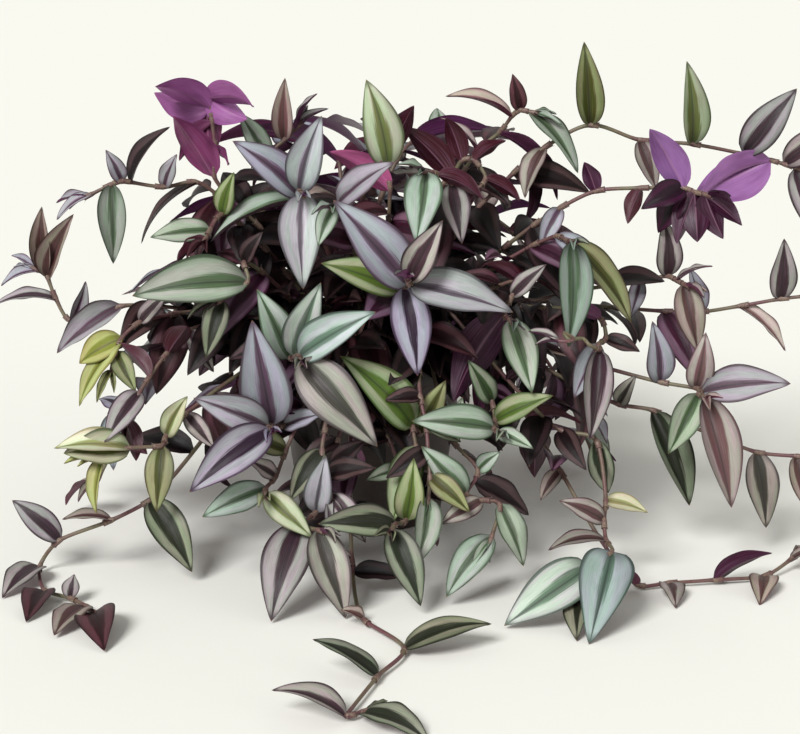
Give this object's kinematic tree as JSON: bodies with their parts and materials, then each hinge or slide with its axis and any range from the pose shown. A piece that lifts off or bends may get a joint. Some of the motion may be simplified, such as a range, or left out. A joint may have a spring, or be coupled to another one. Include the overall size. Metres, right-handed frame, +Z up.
{
  "type": "potted plant",
  "caption": "Potted tradescantia: a plain tapered pot of soil with leafy striped stems that arch over the rim all round and trail along the surface it stands on",
  "frame": {"origin": "centre of the pot's flat base, on the surface that it stands on", "axes": "+Z is up out of the pot, -Y is the side that the picture shows, +X is to the right as seen from that side"},
  "size_m": [0.5265, 0.5568, 0.3081],
  "materials": {
    "pot": "matte",
    "soil": "matte",
    "leaf_silver": "satin",
    "leaf_purple": "satin",
    "leaf_green": "satin",
    "leaf_dark": "satin"
  },
  "bodies": {
    "root": {"pot": "pot", "soil": "soil", "stem_crown_left": "leaf_silver", "stem_crown_back": "leaf_dark", "stem_purple_left": "leaf_purple", "stem_left_high": "leaf_silver", "stem_left_reach": "leaf_dark", "stem_left_shoulder": "leaf_silver", "stem_left_arch": "leaf_silver", "stem_left_yellow": "leaf_green", "stem_left_dark": "leaf_purple", "stem_left_low": "leaf_green", "stem_crown_middle": "leaf_dark", "stem_crown_inner": "leaf_silver", "stem_top_green": "leaf_green", "stem_over_middle": "leaf_dark", "stem_top_dark": "leaf_purple", "stem_top_middle": "leaf_silver", "stem_top_reach": "leaf_dark", "stem_purple_reach": "leaf_purple", "stem_right_shoulder": "leaf_silver", "stem_right_back": "leaf_dark", "stem_right_far": "leaf_silver", "stem_right_cluster": "leaf_silver", "stem_right_stem": "leaf_dark", "stem_right_mid": "leaf_silver", "stem_right_lean": "leaf_silver", "stem_right_green": "leaf_green", "stem_centre_green": "leaf_green", "stem_centre_left": "leaf_silver", "stem_low_left": "leaf_dark", "stem_skirt_left": "leaf_silver", "stem_skirt_front": "leaf_silver", "stem_skirt_middle": "leaf_dark", "stem_skirt_right": "leaf_silver", "stem_right_low": "leaf_silver", "stem_skirt_pot_left": "leaf_dark", "stem_skirt_pot_right": "leaf_silver", "stem_trail_right": "leaf_silver", "stem_trail_left": "leaf_purple", "stem_trail_front": "leaf_silver", "stem_back_low_1": "leaf_silver", "stem_back_low_2": "leaf_dark", "stem_back_low_3": "leaf_silver", "stem_back_low_4": "leaf_silver", "stem_back_middle_1": "leaf_dark", "stem_back_middle_2": "leaf_silver", "stem_back_middle_3": "leaf_silver", "stem_back_middle_4": "leaf_dark", "stem_back_middle_5": "leaf_silver", "stem_back_high_1": "leaf_silver", "stem_back_high_2": "leaf_dark", "stem_back_high_3": "leaf_silver", "stem_side_left_1": "leaf_silver"}
  },
  "joints": []
}
